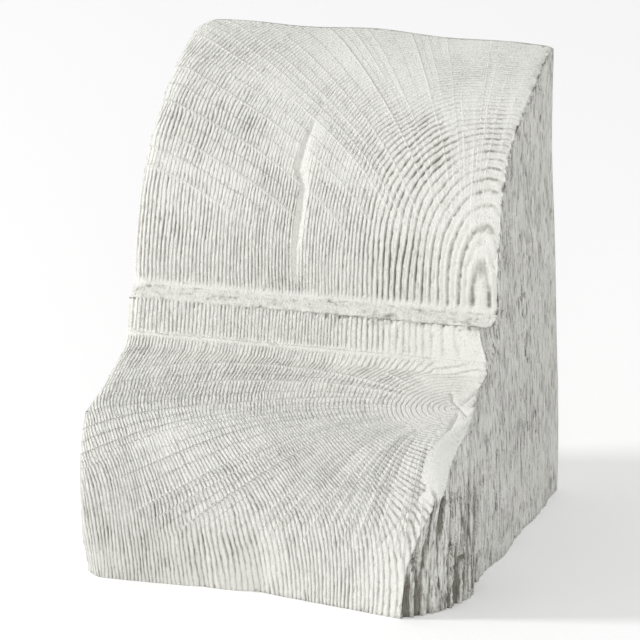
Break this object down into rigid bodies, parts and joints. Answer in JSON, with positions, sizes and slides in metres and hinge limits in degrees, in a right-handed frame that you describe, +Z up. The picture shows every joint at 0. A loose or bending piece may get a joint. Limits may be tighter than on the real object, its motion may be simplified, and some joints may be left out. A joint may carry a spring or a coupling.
{
  "type": "corbel",
  "caption": "short faux-timber corbel with a moulded end: quarter round, ledge and fillet over a sloping cove and a full nose, standing on its flat deep end",
  "frame": {"origin": "middle of the base on the resting plane", "axes": "+Z up from the deep flat end, +Y to the flat back, +X across the width to the right as seen from the front"},
  "size_m": [0.209, 0.231, 0.2554],
  "materials": {
    "primed_casting": "matt white primer"
  },
  "bodies": {
    "root": {"corbel": "primed_casting"}
  },
  "joints": []
}
